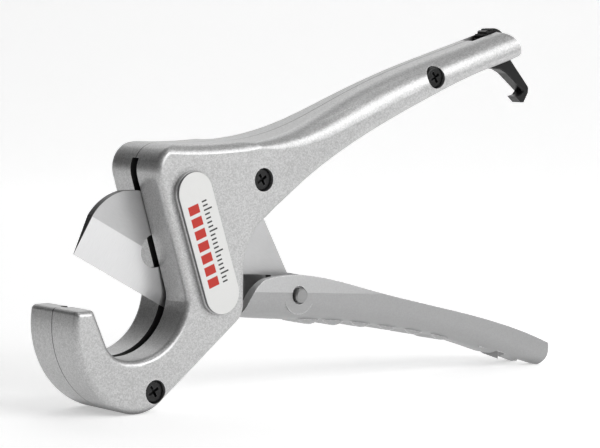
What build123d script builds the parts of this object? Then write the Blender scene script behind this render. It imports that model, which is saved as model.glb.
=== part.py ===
from build123d import *
from math import asin, atan2, cos, degrees, hypot, radians, sin, sqrt
import os

os.makedirs("parts", exist_ok=True)

# One-hand plastic pipe cutter, standing on its hook and on the end of its lower handle.
# X runs from the jaw to the handles, Y across the thickness, Z up.
# The origin is the axis of the pipe seat, on the parting plane of the two frame castings.

# ---------------------------------------------------------------- driving dimensions, mm
HEAD_HALF = 13.4            # half the thickness of the head
EDGE_ROUND = 2.1            # rounding of the castings' outer edges
CROWN_ROUND = 4.2           # larger rounding along the top of the head

SEAT_R = 20.1               # pipe seat
WALL_DISTANCE = 18.9        # straight throat wall, from the seat axis
WALL_LEAN = 17.1            # degrees that the wall leans from upright

PIVOT = (36.2, -5.0)        # axis of the blade
PIVOT_PIN_R = 2.5
CLOSED_ANGLE = 39.5         # handles squeezed together, from rest

BLADE_THICK = 2.8
BLADE_SLOT = 3.4            # gap between the castings that the blade runs in
BLADE_REACH = 55.6          # furthest point of the blade from its axis, with room to run
HUB_R = 5.6                 # blade's hub
RUNNING = 0.05              # radial clearance of a running fit
SNUG = 0.02                 # radial clearance of a pin that stays put

TAIL_PIN = (69.3, -4.1)     # pin that joins the blade's tail to the lower handle
TAIL_PIN_R = 2.5
LEVER_HALF = 10.0           # half the thickness of the lower handle
CHEEK = 3.5                 # its walls
WEB = 3.0                   # its floor

LATCH_AXIS = (163.3, 78.0)
LATCH_PIN_R = 1.75
LATCH_THICK = 5.0
LATCH_SLOT = 6.6

SCREW_R = 2.0
SCREW_HEAD_R = 3.6
SCREW_HEAD = 2.6
SINK_R = 3.9                # counterbore for a screw head
SINK_DEPTH = 4.4
LOCK_WASHER = 0.7
HEAD_SCREWS = [(7.3, -30.7), (50.9, 35.5)]
GRIP_SCREW = (130.3, 68.0)
GRIP_SCREW_HALF = 9.95      # half the thickness of the fixed handle at its screw
TAP_DEPTH = 7.0             # how far a screw goes into the back casting
DOWELS = [(-4.0, -29.5), (88.0, 51.5)]
DOWEL_R = 1.5
DOWEL_HALF = 4.0

BADGE_CENTRE = (26.9, 16.0)
BADGE_R = 6.8
BADGE_SPACING = 34.9        # between its end centres
BADGE_LEAN = 108.5          # degrees from +X to its long axis
PAD_RISE = 1.2
PLATE_THICK = 1.0

# ---------------------------------------------------------------- helpers


def xz(point, y=0.0):
    """A point of the side view, at depth y."""
    return Vector(point[0], y, point[1])


def side(y=0.0):
    """Sketch plane of the side view at depth y; it extrudes towards -Y, the front."""
    return Plane(origin=(0, y, 0), x_dir=(1, 0, 0), z_dir=(0, -1, 0))


def polar(centre, radius, angle):
    """Point of the side view at a distance and an angle from a centre."""
    return centre[0] + radius * cos(radians(angle)), centre[1] + radius * sin(radians(angle))


def along(point, angle, distance):
    """Point of the side view reached by going a distance in a direction."""
    return polar(point, distance, angle)


def round_corner(sketch, point, radius):
    """Round the corner of a sketch under construction that lies nearest to a point."""
    corner = sketch.vertices().sort_by_distance((point[0], point[1], 0))[0]
    fillet(corner, radius)


def save(part, name):
    """Label a finished piece and write it."""
    part.label = name
    export_step(part, f"parts/{name}.step")


# ---------------------------------------------------------------- head of the castings
# Outline of the head: hook, throat, nose, top, neck. The hook's back, the foot under the
# seat, the corner round the pivot and the neck are arcs that meet tangentially.
HOOK_C, HOOK_R = (6.4, -8.7), 29.85
FOOT_C, FOOT_R = (1.0, -22.7), 14.8
CORNER_R = 7.4
NECK_C, NECK_R = (63.9, 6.0), 20.3
NECK_END_ANGLE = 127
NECK_RUN = 7.0              # straight stretch after the neck's arc
NECK_ACROSS = 27.2          # the head passes into the fixed handle square to that stretch
HOOK_TOP = -2.8
HOOK_INNER = -16.2
NOSE_TOP = 49.1
CROWN_SAG = 0.8             # the top is slightly hollow
SEAT_END_ANGLE = 240.8

wall_normal = (cos(radians(WALL_LEAN)), sin(radians(WALL_LEAN)))
hook_outer = (HOOK_C[0] - sqrt(HOOK_R**2 - (HOOK_TOP - HOOK_C[1])**2), HOOK_TOP)
hook_inner = (HOOK_INNER, HOOK_TOP)
hook_foot_angle = 360 + degrees(atan2(FOOT_C[1] - HOOK_C[1], FOOT_C[0] - HOOK_C[0]))
hook_top_angle = degrees(atan2(HOOK_TOP - HOOK_C[1], hook_outer[0] - HOOK_C[0]))
hook_foot = polar(HOOK_C, HOOK_R, hook_foot_angle)
run = (PIVOT[0] - FOOT_C[0], PIVOT[1] - FOOT_C[1])
under_angle = degrees(atan2(run[1], run[0])) + degrees(asin((FOOT_R - CORNER_R) / hypot(*run)))
foot_end = polar(FOOT_C, FOOT_R, under_angle - 90)
corner_start = polar(PIVOT, CORNER_R, under_angle - 90)
corner_end = polar(PIVOT, CORNER_R, 0)
neck_start = polar(NECK_C, NECK_R, 180)
neck_end = polar(NECK_C, NECK_R, NECK_END_ANGLE)
neck_low = along(neck_end, NECK_END_ANGLE - 90, NECK_RUN)
neck_top = along(neck_low, NECK_END_ANGLE, NECK_ACROSS)
seat_right_angle = WALL_LEAN - degrees(atan2(sqrt(SEAT_R**2 - WALL_DISTANCE**2), WALL_DISTANCE))
seat_right = polar((0, 0), SEAT_R, seat_right_angle)
seat_left = polar((0, 0), SEAT_R, SEAT_END_ANGLE)
seat_low = polar((0, 0), SEAT_R, 290)
nose = ((WALL_DISTANCE - wall_normal[1] * NOSE_TOP) / wall_normal[0], NOSE_TOP)
top_angle = degrees(atan2(neck_top[1] - nose[1], neck_top[0] - nose[0]))
half_top = hypot(neck_top[0] - nose[0], neck_top[1] - nose[1]) / 2
top_middle = along(nose, top_angle, half_top)
crown_dip = along(top_middle, top_angle - 90, CROWN_SAG)
crown_r = (half_top**2 + CROWN_SAG**2) / (2 * CROWN_SAG)
crown_c = along(crown_dip, top_angle + 90, crown_r)

with BuildSketch(side()) as head_outline:
    with BuildLine():
        ThreePointArc(hook_outer, polar(HOOK_C, HOOK_R, (hook_top_angle + hook_foot_angle) / 2), hook_foot)
        ThreePointArc(hook_foot, polar(FOOT_C, FOOT_R, (hook_foot_angle + under_angle + 270) / 2), foot_end)
        Line(foot_end, corner_start)
        ThreePointArc(corner_start, polar(PIVOT, CORNER_R, (under_angle - 90) / 2), corner_end)
        Line(corner_end, neck_start)
        ThreePointArc(neck_start, polar(NECK_C, NECK_R, (180 + NECK_END_ANGLE) / 2), neck_end)
        Line(neck_end, neck_low)
        Line(neck_low, neck_top)
        ThreePointArc(neck_top, crown_dip, nose)
        Line(nose, seat_right)
        ThreePointArc(seat_right, seat_low, seat_left)
        Line(seat_left, hook_inner)
        Line(hook_inner, hook_outer)
    make_face()
    round_corner(head_outline, nose, 8.4)
    round_corner(head_outline, seat_right, 8.0)
    round_corner(head_outline, seat_left, 9.0)
    round_corner(head_outline, hook_outer, 1.6)
    round_corner(head_outline, hook_inner, 1.4)

with BuildPart() as head_blank:
    with BuildSketch(side()):
        add(head_outline.sketch)
    extrude(amount=HEAD_HALF)
    outer_face = head_blank.faces().sort_by(Axis.Y)[0]
    neck_middle = xz(((neck_low[0] + neck_top[0]) / 2, (neck_low[1] + neck_top[1]) / 2), -HEAD_HALF)
    rim = outer_face.edges().sort_by_distance(neck_middle)[1:]
    fillet(rim, EDGE_ROUND)

# The top of the head is rounded more: a ring cutter runs round the axis of its hollow top.
# Its round is a little larger than the rounding, so that it crosses the faces at an angle.
CUTTER_EXTRA = 0.12

with BuildPart() as crown_cutter:
    with BuildSketch(Plane(origin=xz(crown_c), x_dir=(0, 0, -1), z_dir=(1, 0, 0))):
        with Locations((crown_r, -HEAD_HALF)):
            Rectangle(2 * CROWN_ROUND, 2 * CROWN_ROUND)
        with Locations((crown_r + CROWN_ROUND, CROWN_ROUND - HEAD_HALF)):
            Circle(CROWN_ROUND + CUTTER_EXTRA, mode=Mode.SUBTRACT)
        crown_inner, crown_outer = crown_r - CROWN_ROUND, crown_r + CROWN_ROUND
        with BuildLine():
            Polyline((crown_inner, -HEAD_HALF - CROWN_ROUND), (crown_outer, -HEAD_HALF - CROWN_ROUND),
                     (crown_outer, -HEAD_HALF - CUTTER_EXTRA / 2),
                     (crown_r - CUTTER_EXTRA / 2, CROWN_ROUND - HEAD_HALF),
                     (crown_inner, CROWN_ROUND - HEAD_HALF), close=True)
        make_face(mode=Mode.INTERSECT)
    revolve(axis=Axis(xz(crown_c), (0, 1, 0)))

# ---------------------------------------------------------------- fixed handle
# Half sections of the fixed handle: a point of its underside, one of its top, half its
# thickness there, and the roundings of its top and bottom edges.
GRIP_SECTIONS = [
    (neck_low, neck_top, HEAD_HALF, EDGE_ROUND, EDGE_ROUND),
    ((66.4, 32.6), (55.5, 48.9), 13.2, CROWN_ROUND, EDGE_ROUND),
    ((76.0, 38.3), (69.5, 52.3), 12.6, 6.0, 2.2),
    ((92.0, 46.2), (85.9, 58.6), 11.5, 7.6, 2.3),
    ((112.0, 54.6), (106.9, 66.9), 10.4, 8.2, 2.4),
    ((134.0, 63.1), (129.4, 74.0), 9.9, 7.9, 2.4),
    ((157.2, 70.8), (153.6, 80.6), 9.6, 7.2, 2.4),
    ((174.0, 75.7), (171.0, 85.4), 9.4, 7.0, 2.4),
]
GRIP_END_LOW, GRIP_END_MID, GRIP_END_HIGH = (171.8, 75.2), (170.4, 80.4), (165.0, 83.6)


with BuildPart() as grip_blank:
    for low, high, half, top_round, low_round in GRIP_SECTIONS:
        height = hypot(high[0] - low[0], high[1] - low[1])
        up = ((high[0] - low[0]) / height, (high[1] - low[1]) / height)
        with BuildSketch(Plane(origin=xz(low), x_dir=(0, -1, 0), z_dir=(-up[1], 0, up[0]))) as section:
            Rectangle(half, height, align=(Align.MIN, Align.MIN))
            round_corner(section, (half, height), top_round)
            round_corner(section, (half, 0), low_round)
    loft()
    # rounded end
    with BuildSketch(side(HEAD_HALF)):
        with BuildLine():
            ThreePointArc(GRIP_END_LOW, GRIP_END_MID, GRIP_END_HIGH)
            Polyline(GRIP_END_HIGH, (165.0, 95.0), (185.0, 95.0), (185.0, 70.0), (171.8, 70.0),
                     GRIP_END_LOW)
        make_face()
    extrude(amount=2 * HEAD_HALF, mode=Mode.SUBTRACT)

# ---------------------------------------------------------------- room for the blade and latch
CROWN_WALL = 46.3           # top of the blade's room; it stops the opening blade
EDGE_REST_NORMAL = 61.46    # direction of the cutting edge's normal at rest, degrees
EDGE_REST_OFFSET = 4.6      # distance of the cutting edge from the origin, along that normal
EDGE_CLEAR = 1.1            # room beyond the cutting edge when it has closed
LATCH_ROOM_R = 10.2

edge_normal = radians(EDGE_REST_NORMAL + CLOSED_ANGLE)
closed_offset = EDGE_REST_OFFSET + sum(
    axis * (new - old) for axis, new, old in zip(
        PIVOT, (cos(edge_normal), sin(edge_normal)),
        (cos(radians(EDGE_REST_NORMAL)), sin(radians(EDGE_REST_NORMAL)))))
floor_foot = polar((0, 0), closed_offset - EDGE_CLEAR, EDGE_REST_NORMAL + CLOSED_ANGLE)
floor_run = EDGE_REST_NORMAL + CLOSED_ANGLE - 90

with BuildSketch(side()) as blade_room:
    with Locations(PIVOT):
        Circle(BLADE_REACH)
    with BuildLine():
        Polyline((-60, CROWN_WALL), (40, CROWN_WALL), (49.3, 30), (57.5, 25.6), (90, 25.6),
                 along(floor_foot, floor_run, 90), along(floor_foot, floor_run, -70), close=True)
    make_face(mode=Mode.INTERSECT)
    with Locations(PIVOT):
        Circle(HUB_R + 1)

with BuildSketch(side()) as latch_room:
    with Locations(LATCH_AXIS):
        Circle(LATCH_ROOM_R)
    with BuildLine():
        Polyline((157, 60), (180, 60), (180, 95), (157, 95), close=True)
    make_face()

# ---------------------------------------------------------------- frame castings
PIVOT_BORE_DEPTH = 9.0
WASHER_R = 5.5
WASHER_ROOM_DEPTH = 2.3
LATCH_BORE_DEPTH = 6.6
PAD_R = 7.1
PAD_ROUND = 0.5
SINK_CHAMFER = 0.5

with BuildPart() as casting_blank:
    add(head_blank.part)
    add(grip_blank.part)
    add(crown_cutter.part, mode=Mode.SUBTRACT)
    # rooms of the blade and the latch
    with BuildSketch(side()):
        add(blade_room.sketch)
    extrude(amount=BLADE_SLOT / 2, mode=Mode.SUBTRACT)
    with BuildSketch(side()):
        add(latch_room.sketch)
    extrude(amount=LATCH_SLOT / 2, mode=Mode.SUBTRACT)
    # blind bores of the two axles and the dowels, and the recess of a pivot washer
    with BuildSketch(side()):
        with Locations(PIVOT):
            Circle(PIVOT_PIN_R + SNUG)
    extrude(amount=PIVOT_BORE_DEPTH, mode=Mode.SUBTRACT)
    with BuildSketch(side()):
        with Locations(PIVOT):
            Circle(WASHER_R + 0.2)
    extrude(amount=WASHER_ROOM_DEPTH, mode=Mode.SUBTRACT)
    with BuildSketch(side()):
        with Locations(LATCH_AXIS):
            Circle(LATCH_PIN_R + SNUG)
    extrude(amount=LATCH_BORE_DEPTH, mode=Mode.SUBTRACT)
    with BuildSketch(side()):
        with Locations(*DOWELS):
            Circle(DOWEL_R + SNUG)
    extrude(amount=DOWEL_HALF + 0.2, mode=Mode.SUBTRACT)

# Front casting: pad of the badge, counterbored holes of the three screws.
with BuildPart() as frame_front:
    add(casting_blank.part)
    with BuildSketch(side(1 - HEAD_HALF)):
        with Locations(BADGE_CENTRE):
            SlotCenterToCenter(BADGE_SPACING, 2 * PAD_R, rotation=BADGE_LEAN)
    extrude(amount=1 + PAD_RISE)
    pad_face = frame_front.faces().sort_by(Axis.Y)[0]
    fillet(pad_face.edges(), PAD_ROUND)
    for places, half in ((HEAD_SCREWS, HEAD_HALF), ([GRIP_SCREW], GRIP_SCREW_HALF)):
        with BuildSketch(side()):
            with Locations(*places):
                Circle(SCREW_R + 0.2)
        extrude(amount=half, mode=Mode.SUBTRACT)
        with BuildSketch(side(SINK_DEPTH - half)):
            with Locations(*places):
                Circle(SINK_R)
        extrude(amount=SINK_DEPTH + 1, mode=Mode.SUBTRACT)
save(frame_front.part, "frame_front")

# Back casting: the mirror image, with blind tapped holes for the screws and no pad.
with BuildPart() as frame_back:
    mirror(casting_blank.part, about=Plane.XZ)
    with BuildSketch(side(TAP_DEPTH)):
        with Locations(*HEAD_SCREWS, GRIP_SCREW):
            Circle(SCREW_R + SNUG)
    extrude(amount=TAP_DEPTH, mode=Mode.SUBTRACT)
save(frame_back.part, "frame_back")

with BuildPart() as badge_plate:
    with BuildSketch(side(-HEAD_HALF - PAD_RISE)):
        with Locations(BADGE_CENTRE):
            SlotCenterToCenter(BADGE_SPACING, 2 * BADGE_R, rotation=BADGE_LEAN)
    extrude(amount=PLATE_THICK)
    fillet(badge_plate.faces().sort_by(Axis.Y)[0].edges(), 0.3)
save(badge_plate.part, "badge_plate")

# ---------------------------------------------------------------- fasteners of the frame
CROSS_LENGTH, CROSS_WIDTH, CROSS_DEPTH = 4.2, 0.95, 1.5
HEAD_EDGE = 0.6             # rounding of a screw head
WASHER_GAP = 0.02


def screw_group(places, half):
    """Cross-recess screws, their heads sunk below a face at depth -half."""
    seat = half - SINK_DEPTH + LOCK_WASHER
    with BuildPart() as group:
        with BuildSketch(side(TAP_DEPTH - 0.5)):
            with Locations(*places):
                Circle(SCREW_R)
        extrude(amount=TAP_DEPTH - 0.5 + seat)
        with BuildSketch(side(-seat)):
            with Locations(*places):
                Circle(SCREW_HEAD_R)
        extrude(amount=SCREW_HEAD)
        fillet(group.edges().filter_by(GeomType.CIRCLE).group_by(Axis.Y)[0], HEAD_EDGE)
        with BuildSketch(side(CROSS_DEPTH - seat - SCREW_HEAD)):
            with Locations(*places):
                Rectangle(CROSS_LENGTH, CROSS_WIDTH, rotation=30)
                Rectangle(CROSS_WIDTH, CROSS_LENGTH, rotation=30)
        extrude(amount=CROSS_DEPTH + 1, mode=Mode.SUBTRACT)
    return group.part


save(screw_group(HEAD_SCREWS, HEAD_HALF), "frame_screws")
save(screw_group([GRIP_SCREW], GRIP_SCREW_HALF), "handle_screw")

with BuildPart() as screw_lock_washers:
    for places, half in ((HEAD_SCREWS, HEAD_HALF), ([GRIP_SCREW], GRIP_SCREW_HALF)):
        with BuildSketch(side(SINK_DEPTH - half - WASHER_GAP)):
            with Locations(*places):
                Circle(SCREW_HEAD_R - 0.1)
                Circle(SCREW_R + 0.15, mode=Mode.SUBTRACT)
        extrude(amount=LOCK_WASHER - 2 * WASHER_GAP)
save(screw_lock_washers.part, "screw_lock_washers")


def round_pins(places, radius, half, chamfer_size):
    """Plain round pins along Y, centred on the parting plane, with chamfered ends."""
    with BuildPart() as pins:
        with BuildSketch(side(half)):
            with Locations(*places):
                Circle(radius)
        extrude(amount=2 * half)
        chamfer(pins.edges().filter_by(GeomType.CIRCLE), chamfer_size)
    return pins.part


def flat_ring(centre, inner, outer, start, thick):
    """Flat washer or collar along Y, from depth start towards the front."""
    with BuildPart() as ring:
        with BuildSketch(side(start)):
            with Locations(centre):
                Circle(outer)
                Circle(inner, mode=Mode.SUBTRACT)
        extrude(amount=thick)
    return ring.part


def dished_ring(centre, inner, outer, start, rise, thick):
    """Dished spring washer along Y: its bore is at depth start, its rim further back."""
    with BuildPart() as ring:
        with BuildSketch(Plane(origin=xz(centre), x_dir=(1, 0, 0), z_dir=(0, 0, 1))):
            with BuildLine():
                Polyline((inner, start), (outer, start + rise), (outer, start + rise + thick),
                         (inner, start + thick), close=True)
            make_face()
        revolve(axis=Axis(xz(centre), (0, 1, 0)))
    return ring.part


PIVOT_WASHER = 0.75
SPRING_THICK, SPRING_RISE = 0.4, 0.35
LATCH_SPRING_RISE = 0.3
LATCH_WASHER_R = 3.6
LATCH_WASHER = 0.7
SIDE_GAP = 0.04             # running gap beside the blade and the latch

save(round_pins(DOWELS, DOWEL_R, DOWEL_HALF, 0.25), "frame_dowels")
save(round_pins([PIVOT], PIVOT_PIN_R, PIVOT_BORE_DEPTH - 0.2, 0.4), "pivot_pin")
save(round_pins([LATCH_AXIS], LATCH_PIN_R, LATCH_BORE_DEPTH - 0.2, 0.3), "latch_pin")
save(flat_ring(PIVOT, PIVOT_PIN_R + RUNNING, WASHER_R, -BLADE_THICK / 2 - SIDE_GAP, PIVOT_WASHER),
     "pivot_washer")
save(dished_ring(PIVOT, PIVOT_PIN_R + RUNNING, WASHER_R, BLADE_THICK / 2 + SIDE_GAP, SPRING_RISE,
                 SPRING_THICK), "pivot_disc_spring")
save(flat_ring(LATCH_AXIS, LATCH_PIN_R + RUNNING, LATCH_WASHER_R, -LATCH_THICK / 2 - SIDE_GAP,
               LATCH_WASHER), "latch_washer")
save(dished_ring(LATCH_AXIS, LATCH_PIN_R + RUNNING, LATCH_WASHER_R, LATCH_THICK / 2 + SIDE_GAP,
                 LATCH_SPRING_RISE, SPRING_THICK), "latch_disc_spring")

# ---------------------------------------------------------------- blade and its bush
GRIND = 13.4                # width of the ground bevel
EDGE_LAND = 0.12            # thickness left at the cutting edge
GRIND_STOP = 26.0           # where the grinding ends, along X
BUSH_R = 3.5
TAIL_LOBE_R = 5.3
BLADE_HOLE, BLADE_HOLE_R = (15.7, 13.1), 5.5


def edge_point(x):
    """Point of the cutting edge at rest."""
    normal = radians(EDGE_REST_NORMAL)
    return x, (EDGE_REST_OFFSET - x * cos(normal)) / sin(normal)


tip = edge_point(-15.3)
heel = edge_point(24.5)

with BuildPart() as blade:
    with BuildSketch(side(BLADE_THICK / 2)) as blade_outline:
        with BuildLine():
            Polyline(tip, heel, polar(PIVOT, HUB_R, 248))
            ThreePointArc(polar(PIVOT, HUB_R, 248), polar(PIVOT, HUB_R, 300), polar(PIVOT, HUB_R, 352))
            Polyline(polar(PIVOT, HUB_R, 352), (43.0, 4.0), (51.7, 3.4), (63.7, 2.3), (64.0, -4.1),
                     (74.6, -4.1), (70.5, 3.1), (60.6, 21.3), (33.0, 24.0), (9.0, 33.0), (3.0, 33.0))
            ThreePointArc((3.0, 33.0), (-3.6, 30.5), (-8.8, 25.8))
            Line((-8.8, 25.8), tip)
        make_face()
        round_corner(blade_outline, (43.0, 4.0), 2.5)
        round_corner(blade_outline, (33.0, 24.0), 6.0)
        round_corner(blade_outline, (9.0, 33.0), 5.0)
        round_corner(blade_outline, (60.6, 21.3), 0.6)
        with Locations(TAIL_PIN):
            Circle(TAIL_LOBE_R)
            Circle(TAIL_PIN_R + SNUG, mode=Mode.SUBTRACT)
        with Locations(PIVOT):
            Circle(BUSH_R, mode=Mode.SUBTRACT)
        with Locations(BLADE_HOLE):
            Circle(BLADE_HOLE_R, mode=Mode.SUBTRACT)
    extrude(amount=BLADE_THICK)
    # double bevel: two wedges, along the cutting edge, are ground away
    grind_start = edge_point(-40.0)
    edge_direction = EDGE_REST_NORMAL - 90
    edge_vector = polar((0, 0), 1, edge_direction)
    inward_vector = polar((0, 0), 1, EDGE_REST_NORMAL)
    grind_plane = Plane(origin=xz(grind_start), x_dir=(inward_vector[0], 0, inward_vector[1]),
                        z_dir=(edge_vector[0], 0, edge_vector[1]))
    slope = (BLADE_THICK - EDGE_LAND) / 2 / GRIND
    with BuildSketch(grind_plane):
        for face_side in (-1, 1):
            with BuildLine():
                Polyline((-2, face_side * (EDGE_LAND / 2 - 2 * slope)),
                         (GRIND, face_side * BLADE_THICK / 2),
                         (GRIND, face_side * BLADE_THICK),
                         (-2, face_side * BLADE_THICK), close=True)
            make_face()
    extrude(amount=(GRIND_STOP + 40.0) / edge_vector[0], mode=Mode.SUBTRACT)
save(blade.part, "blade")

save(flat_ring(PIVOT, PIVOT_PIN_R + RUNNING, BUSH_R, BLADE_THICK / 2, BLADE_THICK), "pivot_bush")

# ---------------------------------------------------------------- lower handle
UNDER = [(44.0, -10.1), (68.4, -12.8), (91.4, -15.2), (115.7, -19.3), (141.5, -25.0),
         (158.7, -30.4), (172.0, -34.9), (190.0, -41.2)]
CHEEK_TOP = [(55.6, 1.9), (64.2, 2.7), (80.5, 1.0), (101.2, -4.5), (127.3, -11.2),
             (154.5, -18.1), (187.2, -29.4)]
CHEEK_FRONT = [(46.4, -10.8), (49.6, -2.4)]
LEVER_END = [(187.4, -31.5), (184.4, -37.5)]
END_STEP = [(174.9, -34.6), (174.9, -60.0), (46.4, -60.0)]
UNDER_ROUND = 7.0
CHANNEL_HALF = LEVER_HALF - CHEEK
PIN_BOSS_R = 6.5
PIN_SINK_R, PIN_SINK_DEPTH = 3.1, 1.2
PIN_PROUD = 1.5
GRIP_BUMPS = [(77.4, -13.9), (88.5, -15.1), (101.2, -16.7), (113.7, -18.7), (126.1, -21.2), (138.9, -24.1)]
BUMP_R = 8.0
BUMP_RISE = 1.0
BUMP_HALF = 5.5
# The latch reaches through an open-ended slot in the floor and hooks under a thicker
# keeper, whose underside is recessed.
KEEPER_X = 168.2
KEEPER_TOP, KEEPER_LOW = -27.6, -30.4
SLOT_WIDTH = 6.8
KEEPER_RECESS = [(163.2, -45.0), (163.2, -31.5), (164.3, KEEPER_LOW), (KEEPER_X + 0.2, KEEPER_LOW),
                 (KEEPER_X + 0.2, -45.0)]
KEEPER_RECESS_HALF = 7.0
# A flat leans off the outer top edge of each cheek and runs out towards the handle's middle.
FLAT_START, FLAT_END, FLAT_LEAN = (66.0, -3.0), (110.0, -6.4), 14.0

with BuildPart() as lower_handle:
    with BuildSketch(side(LEVER_HALF)):
        with BuildLine():
            under = Spline(*UNDER)
            Polyline(under @ 1, (190.0, 10.0), (44.0, 10.0), under @ 0)
        make_face()
    extrude(amount=2 * LEVER_HALF)
    under_edges = lower_handle.edges().filter_by(GeomType.BSPLINE)
    fillet(under_edges, UNDER_ROUND)
    with BuildSketch(side(BUMP_HALF)):
        for bump in GRIP_BUMPS:
            with Locations((bump[0], bump[1] + BUMP_R - BUMP_RISE)):
                Circle(BUMP_R)
    extrude(amount=2 * BUMP_HALF)
    with BuildSketch(side(LEVER_HALF)):
        with Locations(TAIL_PIN):
            Circle(PIN_BOSS_R)
    extrude(amount=2 * LEVER_HALF)
    # side outline: hollow front, gently bowed top, rounded end, step under the end
    with BuildSketch(side(LEVER_HALF)):
        with BuildLine():
            Line(END_STEP[2], CHEEK_FRONT[0])
            ThreePointArc(CHEEK_FRONT[0], CHEEK_FRONT[1], CHEEK_TOP[0])
            Spline(*CHEEK_TOP)
            ThreePointArc(CHEEK_TOP[-1], LEVER_END[0], LEVER_END[1])
            Polyline(LEVER_END[1], *END_STEP)
        make_face()
    extrude(amount=2 * LEVER_HALF, mode=Mode.INTERSECT)
    # channel
    with BuildSketch(side(CHANNEL_HALF)):
        with BuildLine():
            web_top = Spline(*[(x, z + WEB) for x, z in UNDER])
            Polyline(web_top @ 1, (195.0, 10.0), (40.0, 10.0), web_top @ 0)
        make_face()
    extrude(amount=2 * CHANNEL_HALF, mode=Mode.SUBTRACT)
    # keeper and slot of the latch
    with BuildSketch(side(CHANNEL_HALF)):
        with BuildLine():
            Polyline((156.0, -28.0), (158.0, KEEPER_TOP), (KEEPER_X, KEEPER_TOP), (KEEPER_X, -31.5),
                     (156.0, -29.0), close=True)
        make_face()
    extrude(amount=2 * CHANNEL_HALF)
    with BuildSketch(Plane.XY.offset(-45.0)):
        with BuildLine():
            Polyline((KEEPER_X, -SLOT_WIDTH / 2), (195.0, -SLOT_WIDTH / 2),
                     (195.0, SLOT_WIDTH / 2), (KEEPER_X, SLOT_WIDTH / 2), close=True)
        make_face()
    extrude(amount=25.0, mode=Mode.SUBTRACT)
    with BuildSketch(side(KEEPER_RECESS_HALF)):
        with BuildLine():
            Polyline(*KEEPER_RECESS, close=True)
        make_face()
    extrude(amount=2 * KEEPER_RECESS_HALF, mode=Mode.SUBTRACT)
    # holes of the pin, each with a shallow sink round the pin's end
    with BuildSketch(side(LEVER_HALF)):
        with Locations(TAIL_PIN):
            Circle(TAIL_PIN_R + SNUG)
    extrude(amount=2 * LEVER_HALF, mode=Mode.SUBTRACT)
    for sink_start in (LEVER_HALF, PIN_SINK_DEPTH - LEVER_HALF):
        with BuildSketch(side(sink_start)):
            with Locations(TAIL_PIN):
                Circle(PIN_SINK_R)
        extrude(amount=PIN_SINK_DEPTH, mode=Mode.SUBTRACT)
    # leaning flats along the tops of the cheeks
    flat_run = Vector(FLAT_END[0] - FLAT_START[0], 0, FLAT_END[1] - FLAT_START[1])
    for outward in (-1, 1):
        flat_rise = Vector(0, -outward * sin(radians(FLAT_LEAN)), cos(radians(FLAT_LEAN)))
        flat_normal = flat_rise.cross(flat_run) * outward
        flat_plane = Plane(origin=xz(FLAT_START, outward * LEVER_HALF), z_dir=-flat_normal)
        split(bisect_by=flat_plane, keep=Keep.BOTTOM if outward * (-flat_normal).Y > 0 else Keep.TOP)
save(lower_handle.part, "lower_handle")

save(round_pins([TAIL_PIN], TAIL_PIN_R, LEVER_HALF + PIN_PROUD, 0.4), "handle_pin")

SPACER_R = 4.5
SPACER_LENGTH = CHANNEL_HALF - BLADE_THICK / 2 - 0.1
with BuildPart() as tail_spacers:
    for start in (CHANNEL_HALF - 0.05, -BLADE_THICK / 2 - 0.05):
        with BuildSketch(side(start)):
            with Locations(TAIL_PIN):
                Circle(SPACER_R)
                Circle(TAIL_PIN_R + SNUG, mode=Mode.SUBTRACT)
        extrude(amount=SPACER_LENGTH)
save(tail_spacers.part, "tail_spacers")

# ---------------------------------------------------------------- latch
TAB_START, TAB_CREST, TAB_END = (158.3, 80.6), (164.9, 85.0), (171.2, 79.5)
LATCH_ARM = [TAB_END, (170.5, 77.0), (174.1, 72.8), (180.9, 65.5), (182.6, 63.6), (182.4, 61.6),
             (180.3, 58.2), (178.9, 58.2), (176.2, 60.4), (178.6, 61.0), (179.8, 62.3), (175.5, 65.6),
             (171.1, 68.9), (168.0, 70.3), (164.3, 70.5), (158.8, 76.0), TAB_START]
TAB_CENTRE, TAB_R = (164.8, 78.3), 6.68
THUMB_GROOVES = [96, 114, 132, 150]     # where the thumb grooves lie round the tab, degrees
GROOVE_R = 0.6
LATCH_EDGE = 0.35

with BuildPart() as latch:
    with BuildSketch(side(LATCH_THICK / 2)) as latch_outline:
        with BuildLine():
            ThreePointArc(TAB_START, TAB_CREST, TAB_END)
            Polyline(*LATCH_ARM)
        make_face()
        round_corner(latch_outline, (182.6, 63.6), 1.2)
        round_corner(latch_outline, (182.4, 61.6), 1.2)
        round_corner(latch_outline, (175.5, 65.6), 8.0)
        round_corner(latch_outline, (171.1, 68.9), 5.0)
        round_corner(latch_outline, (164.3, 70.5), 2.5)
        with Locations(*[polar(TAB_CENTRE, TAB_R + 0.15, angle) for angle in THUMB_GROOVES]):
            Circle(GROOVE_R, mode=Mode.SUBTRACT)
    extrude(amount=LATCH_THICK)
    latch_sides = latch.faces().sort_by(Axis.Y)
    chamfer(latch_sides[0].edges() + latch_sides[-1].edges(), LATCH_EDGE)
    with BuildSketch(side(LATCH_THICK / 2)):
        with Locations(LATCH_AXIS):
            Circle(LATCH_PIN_R + RUNNING)
    extrude(amount=LATCH_THICK, mode=Mode.SUBTRACT)
save(latch.part, "latch")
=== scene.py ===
import math

import bpy
from mathutils import Matrix, Vector


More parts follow.
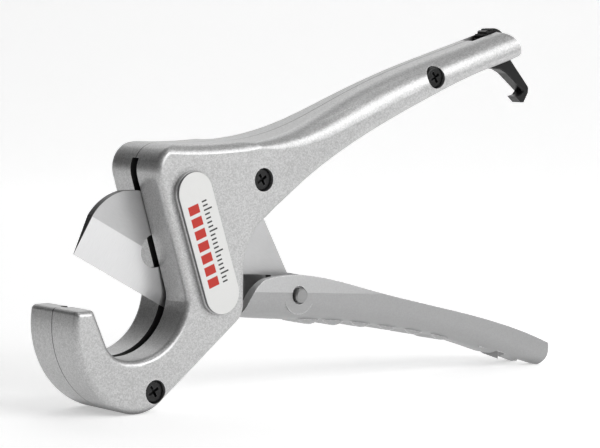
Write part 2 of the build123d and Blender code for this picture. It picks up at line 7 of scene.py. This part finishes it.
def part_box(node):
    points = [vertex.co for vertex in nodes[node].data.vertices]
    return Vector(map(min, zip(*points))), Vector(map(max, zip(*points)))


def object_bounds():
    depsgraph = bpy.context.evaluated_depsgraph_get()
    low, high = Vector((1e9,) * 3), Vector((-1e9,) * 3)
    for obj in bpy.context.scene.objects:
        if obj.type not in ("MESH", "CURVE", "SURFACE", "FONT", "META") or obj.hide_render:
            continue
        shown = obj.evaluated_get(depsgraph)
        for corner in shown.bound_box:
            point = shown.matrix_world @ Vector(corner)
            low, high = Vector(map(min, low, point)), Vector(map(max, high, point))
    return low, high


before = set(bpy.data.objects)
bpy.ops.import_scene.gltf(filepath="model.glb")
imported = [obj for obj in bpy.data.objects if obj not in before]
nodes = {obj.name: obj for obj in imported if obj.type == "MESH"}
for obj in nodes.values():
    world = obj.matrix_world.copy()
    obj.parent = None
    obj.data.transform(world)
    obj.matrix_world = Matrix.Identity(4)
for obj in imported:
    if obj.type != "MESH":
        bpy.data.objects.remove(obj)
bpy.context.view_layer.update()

MM = 0.001

# ---------------------------------------------------------------- place, light and camera
# The cutter stands on its hook and on the end of its lower handle, on a white paper sweep.
# Three soft lights stand in front, overhead and behind it, and the room is darker on the left.
FLOOR_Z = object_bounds()[0].z
SWEEP_HALF_WIDTH = 1.6
SWEEP_FRONT = -1.5
SWEEP_BEND = 0.9
SWEEP_RADIUS = 0.5
SWEEP_HEIGHT = 1.6
BEND_STEPS = 16
LOOK_AT = Vector((77.4, 0.0, 18.7)) * MM
AZIMUTH, ELEVATION, ROLL = math.radians(-39.55), math.radians(5.04), math.radians(0.56)
DISTANCE = 847.5 * MM
LENS = 150.0
PAPER_TONES = (0.93, 0.93, 0.93, 1), (0.96, 0.96, 0.96, 1)
GLOW_TONES = (0.97, 0.97, 0.97, 1), (1.0, 1.0, 1.0, 1)
PAPER_GLOW = 0.44
ROOM_RIGHT = (0.99, -0.14, 0.0)
ROOM_TONES = (0.07, 0.07, 0.07, 1), (1.0, 1.0, 1.0, 1)
ROOM_LIGHT = 0.36


def make_mesh(name, points, faces):
    """Smooth-shaded object from vertices and faces, in the scene."""
    mesh = bpy.data.meshes.new(name)
    mesh.from_pydata(points, [], faces)
    mesh.update()
    mesh.shade_smooth()
    made = bpy.data.objects.new(name, mesh)
    bpy.context.scene.collection.objects.link(made)
    return made


def sweep_profile():
    """Side line of the backdrop: flat floor, quarter bend, upright wall."""
    line = [(SWEEP_FRONT, FLOOR_Z)]
    for step in range(BEND_STEPS + 1):
        turn = math.pi / 2 * step / BEND_STEPS
        line.append((SWEEP_BEND + SWEEP_RADIUS * math.sin(turn),
                     FLOOR_Z + SWEEP_RADIUS * (1 - math.cos(turn))))
    line.append((SWEEP_BEND + SWEEP_RADIUS, FLOOR_Z + SWEEP_HEIGHT))
    return line


profile = sweep_profile()
sweep_points = [(x, y, z) for y, z in profile for x in (-SWEEP_HALF_WIDTH, SWEEP_HALF_WIDTH)]
sweep_faces = [(2 * i, 2 * i + 1, 2 * i + 3, 2 * i + 2) for i in range(len(profile) - 1)]
sweep = make_mesh("backdrop", sweep_points, sweep_faces)
sweep.matrix_world = Matrix.Rotation(AZIMUTH, 4, "Z")


class Shade:
    """A shader socket that takes Python arithmetic: an expression adds its Math nodes."""

    def __init__(self, tree, socket):
        self.tree = tree
        self.socket = socket

    def node(self, kind, settings=None, output=0, **inputs):
        """Add a node: its type, its settings first, then its sockets by name or number."""
        made = self.tree.nodes.new(kind)
        for key, value in (settings or {}).items():
            if key == "stops":
                ramp = made.color_ramp
                while len(ramp.elements) < len(value):
                    ramp.elements.new(1.0)
                for element, (place, tone) in zip(ramp.elements, value):
                    element.position = place
                    element.color = tone if len(tone) == 4 else (*tone, 1.0)
            else:
                setattr(made, key, value)
        for key, value in inputs.items():
            place = int(key[1:]) if key[0] == "_" else key.replace("_", " ")
            if isinstance(value, Shade):
                self.tree.links.new(value.socket, made.inputs[place])
            else:
                made.inputs[place].default_value = value
        return Shade(self.tree, made.outputs[output])

    def maths(self, operation, other=None):
        """One Math node on this value, and on another value or socket."""
        values = {"_0": self}
        if other is not None:
            values["_1"] = other
        return self.node("ShaderNodeMath", {"operation": operation}, **values)

    def __add__(self, other):
        return self.maths("ADD", other)

    def __sub__(self, other):
        return self.maths("SUBTRACT", other)

    def __mul__(self, other):
        return self.maths("MULTIPLY", other)

    def __truediv__(self, other):
        return self.maths("DIVIDE", other)

    def __radd__(self, other):
        return self + other

    def __rmul__(self, other):
        return self * other

    def __rsub__(self, other):
        return self.node("ShaderNodeMath", {"operation": "SUBTRACT"}, _0=other, _1=self)

    def __abs__(self):
        return self.maths("ABSOLUTE")

    def above(self, low, high):
        """0 below low, 1 above high, smooth between."""
        return self.node("ShaderNodeMapRange", {"interpolation_type": "SMOOTHSTEP"},
                         Value=self, From_Min=low, From_Max=high, To_Min=0.0, To_Max=1.0)

    def within(self, low, high, soft):
        """1 between two values, 0 outside them, with soft edges."""
        return self.above(low - soft, low + soft) * (1 - self.above(high - soft, high + soft))

    def blend(self, first, second):
        """Colour mix, with this value as the share of the second colour."""
        return self.node("ShaderNodeMix", {"data_type": "RGBA"}, output=2, _0=self, _6=first, _7=second)

    def noise(self, scale, detail=2.0, rough=0.5):
        """Noise on this vector, with spots about 1/scale across."""
        return self.node("ShaderNodeTexNoise", _0=self, Scale=scale, Detail=detail, Roughness=rough)

    def tint(self, colour):
        """A plain colour, made lighter or darker by this value."""
        return self.node("ShaderNodeVectorMath", {"operation": "SCALE"}, _0=colour, Scale=self)

    def axis(self, number):
        """One coordinate of this vector."""
        return self.node("ShaderNodeSeparateXYZ", output=number, _0=self)

    def dot(self, other):
        """Distance of this point along a direction, or how well two normals agree."""
        return self.node("ShaderNodeVectorMath", {"operation": "DOT_PRODUCT"}, output=1,
                         _0=self, _1=other)


def new_material(name):
    """Empty node material; returns it, its shader and the object-space position."""
    made = bpy.data.materials.new(name)
    made.use_nodes = True
    tree = made.node_tree
    shader = tree.nodes["Principled BSDF"]
    place = Shade(tree, tree.nodes.new("ShaderNodeTexCoord").outputs["Object"])
    return made, shader, place


def feed(place, shader, **values):
    """Link or set the shader's sockets; a word's underscores are spaces."""
    for key, value in values.items():
        socket = shader.inputs[key.replace("_", " ")]
        if isinstance(value, Shade):
            place.tree.links.new(value.socket, socket)
        else:
            socket.default_value = value


def bump(place, height, strength, distance):
    """Bump normal from a height in 0..1; distance is its depth in metres."""
    return place.node("ShaderNodeBump", Strength=strength, Distance=distance, Height=height)


def dress(names, material):
    """Give CAD nodes a material."""
    for name in names:
        slots = nodes[name].material_slots
        for slot in slots:
            slot.material = material


paper, paper_shader, paper_place = new_material("backdrop_paper")
grain = paper_place.noise(900.0, 3.0)
feed(paper_place, paper_shader, Base_Color=grain.blend(*PAPER_TONES), Roughness=0.75,
     Specular_IOR_Level=0.2, Emission_Color=grain.blend(*GLOW_TONES), Emission_Strength=PAPER_GLOW)
sweep.data.materials.append(paper)


def soft_light(name, azimuth, elevation, distance, size, watts):
    """Rectangular area light aimed at the tool; azimuth 0 is straight in front of it."""
    lamp = bpy.data.lights.new(name, "AREA")
    lamp.shape = "RECTANGLE"
    lamp.size, lamp.size_y = size
    lamp.energy = watts
    held = bpy.data.objects.new(name, lamp)
    bpy.context.scene.collection.objects.link(held)
    a, e = math.radians(azimuth), math.radians(elevation)
    out = Vector((math.sin(a) * math.cos(e), -math.cos(a) * math.cos(e), math.sin(e)))
    held.location = LOOK_AT + out * distance
    held.rotation_euler = (-out).to_track_quat("-Z", "Y").to_euler()


soft_light("front_soft", 20, 26, 1.1, (1.0, 0.6), 7.2)
soft_light("top_soft", 20, 75, 1.0, (0.6, 0.3), 0.7)
soft_light("back_soft", 150, 50, 1.3, (0.9, 0.7), 1.6)

world = bpy.data.worlds.new("studio")
world.use_nodes = True
room_tree = world.node_tree
room_way = Shade(room_tree, room_tree.nodes.new("ShaderNodeTexCoord").outputs["Generated"])
room_tone = room_way.dot(ROOM_RIGHT).above(-0.75, 0.45).blend(*ROOM_TONES)
room_tree.links.new(room_tone.socket, room_tree.nodes["Background"].inputs["Color"])
room_tree.nodes["Background"].inputs["Strength"].default_value = ROOM_LIGHT
bpy.context.scene.world = world
bpy.context.scene.view_settings.view_transform = "Standard"

back = Vector((math.sin(AZIMUTH) * math.cos(ELEVATION),
               -math.cos(AZIMUTH) * math.cos(ELEVATION), math.sin(ELEVATION)))
camera_data = bpy.data.cameras.new("camera")
camera_data.lens = LENS
camera_data.clip_start = 0.01
camera = bpy.data.objects.new("camera", camera_data)
bpy.context.scene.collection.objects.link(camera)
camera.location = LOOK_AT + back * DISTANCE
camera.rotation_mode = "QUATERNION"
camera_roll = Matrix.Rotation(ROLL, 3, "Z").to_quaternion()
camera.rotation_quaternion = (-back).to_track_quat("-Z", "Y") @ camera_roll
bpy.context.scene.camera = camera

# ---------------------------------------------------------------- frame castings
# Two die-cast aluminium halves, met on a thin parting line and sprayed together with a
# silver metallic powder coat: fine sparkle, a slight pebble, and edges lighter from wear and a painted
# highlight. Painted shade darkens the crevices and the walls of the inner rooms.
FLAKE_SCALE = 2600.0
PEBBLE_SCALE = 1500.0
CAST_EDGE = 0.7 * MM            # how far the lighter edges, of wear and painted highlight, reach
CREVICE_REACH = 5.0 * MM
PARTING_HALF = 0.18 * MM
ROOM_HALF = 2.9 * MM            # the inner room walls, darkened as painted shade, lie within this depth
# Tones: lighter edges of wear and painted highlight, painted crevice shade, painted room shade, dark seam.
EDGE_WEAR_AND_HIGHLIGHT_TONE, CREVICE_SHADE_TONE = (0.86, 0.86, 0.87, 1), (0.05, 0.05, 0.05, 1)
ROOM_SHADE_TONE, SEAM_TONE = (0.035, 0.035, 0.035, 1), (0.05, 0.05, 0.05, 1)


def crevice_light(place, reach):
    """Share of open sky near a point: low in crevices; colour darkened by it is painted shade."""
    return place.node("ShaderNodeAmbientOcclusion", {"samples": 8}, output=1, Distance=reach)


def edge_turn(place, reach):
    """How far the surface turns away within a short reach: high on edges, 0 on flats."""
    round_normal = place.node("ShaderNodeBevel", {"samples": 4}, Radius=reach)
    return 1 - round_normal.dot(place.node("ShaderNodeNewGeometry", output=1))


def metal_paint(name, tone, sparkle, pebble, rough, dark, parting=0.0):
    """Silver paint with metal flakes, cloudy variation, edges lighter from wear and a painted highlight,
    painted shade in crevices, and an optional parting line with painted shade in the inner rooms.
    """
    made, shader, place = new_material(name)
    flakes = place.node("ShaderNodeTexVoronoi", output=1, _0=place, Scale=FLAKE_SCALE).axis(0)
    cloud = place.noise(38.0, 3.0, 0.55)
    pebbles = place.noise(PEBBLE_SCALE, 2.0, 0.5)
    light = 1 + (flakes - 0.5) * sparkle + (cloud - 0.5) * 0.07 + (pebbles - 0.5) * 0.10
    # Lighter edges: partly worn paint, partly a painted highlight.
    lighter_edges = edge_turn(place, CAST_EDGE).above(0.015, 0.20) * pebbles.above(0.35, 0.6)
    colour = (lighter_edges * 0.55).blend(light.tint(tone), EDGE_WEAR_AND_HIGHLIGHT_TONE)
    # Painted shade: the colour turns dark in crevices and corners, more so with a higher dark share.
    crevice = 1 - crevice_light(place, CREVICE_REACH).above(0.05, 0.85)
    colour = (crevice * dark).blend(colour, CREVICE_SHADE_TONE)
    normal = bump(place, pebbles, pebble, 0.06 * MM)
    if parting:
        depth = abs(place.axis(1))
        sideways = abs(place.node("ShaderNodeNewGeometry", output=1).axis(1))
        # Painted shade: sideways-facing walls near the middle plane, in the inner rooms, turn near-black.
        room_shade = sideways.above(0.80, 0.95) * (1 - depth.above(ROOM_HALF, ROOM_HALF * 1.08))
        colour = (room_shade * 0.9).blend(colour, ROOM_SHADE_TONE)
        seam = 1 - depth.above(PARTING_HALF * 0.6, PARTING_HALF * 1.6)
        colour = (seam * parting).blend(colour, SEAM_TONE)
    roughness = rough + (cloud - 0.5) * 0.08 + (flakes - 0.5) * 0.10
    feed(place, shader, Base_Color=colour, Roughness=roughness, Metallic=0.68, Normal=normal)
    return made


cast_paint = metal_paint("silver_powder_coat", (0.50, 0.50, 0.50), 0.34, 0.36, 0.38, 0.85, parting=0.95)
dress(["frame_front", "frame_back"], cast_paint)

# ---------------------------------------------------------------- lower handle
# A die-cast aluminium channel, open upwards, that holds the blade's tail between its cheeks.
# It is painted a smoother satin silver, so that hardly any cast texture shows.
handle_paint = metal_paint("satin_silver_paint", (0.36, 0.36, 0.362), 0.10, 0.14, 0.44, 0.35)
dress(["lower_handle"], handle_paint)

# ---------------------------------------------------------------- blade
# Flat ground tool steel. The body is satin, ground lengthwise; the bevel along the cutting
# edge is ground bright, across the edge.
EDGE_NORMAL = math.radians(61.46)
EDGE_OFFSET = 4.6 * MM
BEVEL_WIDTH = 13.4 * MM
GRIND_LINE = 0.15 * MM


def ground_steel():
    """Satin blade body with a bright bevel along the cutting edge."""
    made, shader, place = new_material("ground_blade_steel")
    inward = (math.cos(EDGE_NORMAL), 0.0, math.sin(EDGE_NORMAL))
    from_edge = place.dot(inward) - EDGE_OFFSET
    bevel = 1 - from_edge.above(BEVEL_WIDTH - GRIND_LINE, BEVEL_WIDTH + GRIND_LINE)
    run = place.dot((math.sin(EDGE_NORMAL), 0.0, -math.cos(EDGE_NORMAL)))
    cross_lines = place.node("ShaderNodeCombineXYZ", _0=run * 9000.0, _1=from_edge * 260.0, _2=0.0)
    long_lines = place.node("ShaderNodeCombineXYZ", _0=run * 350.0, _1=from_edge * 7000.0, _2=0.0)
    scratches = cross_lines.noise(1.0, 3.0, 0.6)
    grindings = long_lines.noise(1.0, 3.0, 0.6)
    stains = place.noise(60.0, 3.0, 0.6)
    body = 0.38 + grindings * 0.12 + stains * 0.10
    bright = 0.62 + scratches * 0.14
    # Painted shade: the blade's narrow sides are darkened, and so are places close to other parts.
    flank = abs(place.node("ShaderNodeNewGeometry", output=3).axis(1)).above(0.45, 0.75)
    shade = crevice_light(place, 0.8 * MM).above(0.1, 0.8)
    value = (body + (bright - body) * bevel) * (0.22 + 0.78 * flank) * (0.45 + 0.55 * shade)
    grey = place.node("ShaderNodeCombineColor", _0=value, _1=value, _2=value * 1.005)
    feed(place, shader, Base_Color=grey, Metallic=0.85,
         Roughness=0.40 - bevel * 0.10 + (stains - 0.5) * 0.12,
         Normal=bump(place, grindings + (scratches - grindings) * bevel, 0.10, 0.02 * MM))
    return made


dress(["blade"], ground_steel())

# ---------------------------------------------------------------- black fasteners and latch
# Steel cross-recess screws with a satin black oxide, and a cast steel latch with a coat much
# like it. Handling has greyed their edges.
BLACK_EDGE = 0.35 * MM

def black_metal(name, tone, rough):
    """Black finish, greyed on its edges by handling."""
    made, shader, place = new_material(name)
    cloud = place.noise(420.0, 3.0, 0.6)
    lighter_edges = edge_turn(place, BLACK_EDGE).above(0.02, 0.25) * cloud.above(0.4, 0.65)
    colour = (lighter_edges * 0.5).blend((tone, tone, tone * 1.05, 1), (0.22, 0.22, 0.23, 1))
    feed(place, shader, Base_Color=colour, Metallic=0.3, Roughness=rough + (cloud - 0.5) * 0.2,
         Normal=bump(place, cloud, 0.25, 0.03 * MM))
    return made


black_screw = black_metal("black_oxide", 0.006, 0.30)
black_latch = black_metal("black_latch_coat", 0.004, 0.32)
dress(["frame_screws", "handle_screw"], black_screw)
dress(["latch"], black_latch)

# ---------------------------------------------------------------- pins, washers, bush
# Turned and stamped steel, mostly hidden inside the castings, and a sintered bronze bush
# pressed in the blade. The handle's pin shows its lathe-turned ends.
RING_RATE = 26000.0             # how close the turning rings lie, in radians a metre


def turned_steel(name, tone, rough, axis_at):
    """Steel turned about an axis along Y: fine rings round that axis."""
    made, shader, place = new_material(name)
    away = place.node("ShaderNodeVectorMath", {"operation": "SUBTRACT"}, _0=place, _1=axis_at)
    flat = place.node("ShaderNodeVectorMath", {"operation": "MULTIPLY"}, _0=away, _1=(1, 0, 1))
    radius = place.node("ShaderNodeVectorMath", {"operation": "LENGTH"}, output=1, _0=flat)
    rings = place.node("ShaderNodeMath", {"operation": "SINE"}, _0=radius * RING_RATE)
    cloud = place.noise(300.0, 3.0, 0.6)
    value = tone * (0.9 + 0.2 * cloud) + rings * 0.015
    grey = place.node("ShaderNodeCombineColor", _0=value, _1=value, _2=value)
    feed(place, shader, Base_Color=grey, Metallic=0.9, Roughness=rough + (cloud - 0.5) * 0.15,
         Normal=bump(place, rings * 0.5 + 0.5, 0.15, 0.02 * MM))
    return made


def centre_of(name):
    """Centre of a CAD node's box."""
    low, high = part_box(name)
    return (low + high) / 2


dress(["handle_pin", "tail_spacers"], turned_steel("turned_pin_steel", 0.30, 0.38, centre_of("handle_pin")))
dress(["pivot_pin", "pivot_washer", "pivot_disc_spring"],
      turned_steel("pivot_steel", 0.45, 0.32, centre_of("pivot_pin")))
dress(["latch_pin", "latch_washer", "latch_disc_spring"],
      turned_steel("latch_pin_steel", 0.45, 0.32, centre_of("latch_pin")))
dress(["frame_dowels", "screw_lock_washers"],
      turned_steel("fastener_steel", 0.45, 0.36, centre_of("frame_dowels")))


def bush_bronze():
    """Oil-filled sintered bronze: brown-gold with open pores."""
    made, shader, place = new_material("sintered_bronze")
    pores = place.noise(2500.0, 2.0, 0.7)
    colour = pores.above(0.35, 0.6).blend((0.18, 0.10, 0.04, 1), (0.50, 0.33, 0.16, 1))
    feed(place, shader, Base_Color=colour, Metallic=0.8, Roughness=0.5 - pores * 0.1,
         Normal=bump(place, pores, 0.3, 0.03 * MM))
    return made


dress(["pivot_bush"], bush_bronze())

# ---------------------------------------------------------------- badge
# A stamped silver-white plate, pressed on its cast pad. Its print is generic: a row of red
# bars along one side and a black scale without numbers along the other.
BADGE_CENTRE = centre_of("badge_plate")
BADGE_LEAN = math.radians(108.5)
PRINT_HALF_LENGTH = 14.6 * MM
BAR_STEP, BAR_SHARE = 4.17 * MM, 0.72
BAR_LOW, BAR_HIGH = -4.6 * MM, -0.3 * MM
TICK_STEP, TICK_SHARE = 1.46 * MM, 0.36
TICK_LOW, TICK_SHORT, TICK_LONG = 1.2 * MM, 3.2 * MM, 4.5 * MM
PRINT_SOFT = 0.05 * MM
BADGE_TONE = (0.72, 0.72, 0.71)
RED_PRINT, BLACK_PRINT = (0.48, 0.022, 0.012, 1), (0.015, 0.015, 0.015, 1)
# Painted shade for the plate's narrow sides.
BADGE_SIDE_SHADE_TONE = (0.16, 0.16, 0.165, 1)


def badge_coat():
    """Silver-white coat with faint grain, printed with a row of red bars and a black scale."""
    made, shader, place = new_material("badge_coat")
    grain = place.noise(2200.0, 2.0, 0.6)
    cloud = place.noise(90.0, 2.0, 0.5)
    light = 0.97 + (grain - 0.5) * 0.05 + (cloud - 0.5) * 0.03
    colour = light.tint(BADGE_TONE)
    lengthwise = Vector((math.cos(BADGE_LEAN), 0.0, math.sin(BADGE_LEAN)))
    crosswise = Vector((math.sin(BADGE_LEAN), 0.0, -math.cos(BADGE_LEAN)))
    run = place.dot(tuple(lengthwise)) - BADGE_CENTRE.dot(lengthwise)
    across = place.dot(tuple(crosswise)) - BADGE_CENTRE.dot(crosswise)
    printed = run.within(-PRINT_HALF_LENGTH, PRINT_HALF_LENGTH, PRINT_SOFT)
    start = run + PRINT_HALF_LENGTH
    bars = (start / BAR_STEP).maths("FRACT").within(0.5 - BAR_SHARE / 2, 0.5 + BAR_SHARE / 2, 0.02)
    bars = bars * across.within(BAR_LOW, BAR_HIGH, PRINT_SOFT) * printed
    ticks = (start / TICK_STEP).maths("FRACT").within(0.5 - TICK_SHARE / 2, 0.5 + TICK_SHARE / 2, 0.06)
    fifth = (start / (5 * TICK_STEP)).maths("FRACT").within(0.4, 0.6, 0.01)
    tick_top = across - fifth * (TICK_LONG - TICK_SHORT)
    ticks = ticks * across.above(TICK_LOW - PRINT_SOFT, TICK_LOW + PRINT_SOFT) * printed
    ticks = ticks * (1 - tick_top.above(TICK_SHORT - PRINT_SOFT, TICK_SHORT + PRINT_SOFT))
    # Painted shade: the plate's narrow sides are painted dark grey.
    flank = abs(place.node("ShaderNodeNewGeometry", output=3).axis(1)).above(0.5, 0.8)
    colour = ticks.blend(bars.blend(colour, RED_PRINT), BLACK_PRINT)
    colour = flank.blend(BADGE_SIDE_SHADE_TONE, colour)
    feed(place, shader, Base_Color=colour, Metallic=0.15, Roughness=0.42 + (grain - 0.5) * 0.1,
         Normal=bump(place, grain, 0.12, 0.02 * MM))
    return made


dress(["badge_plate"], badge_coat())
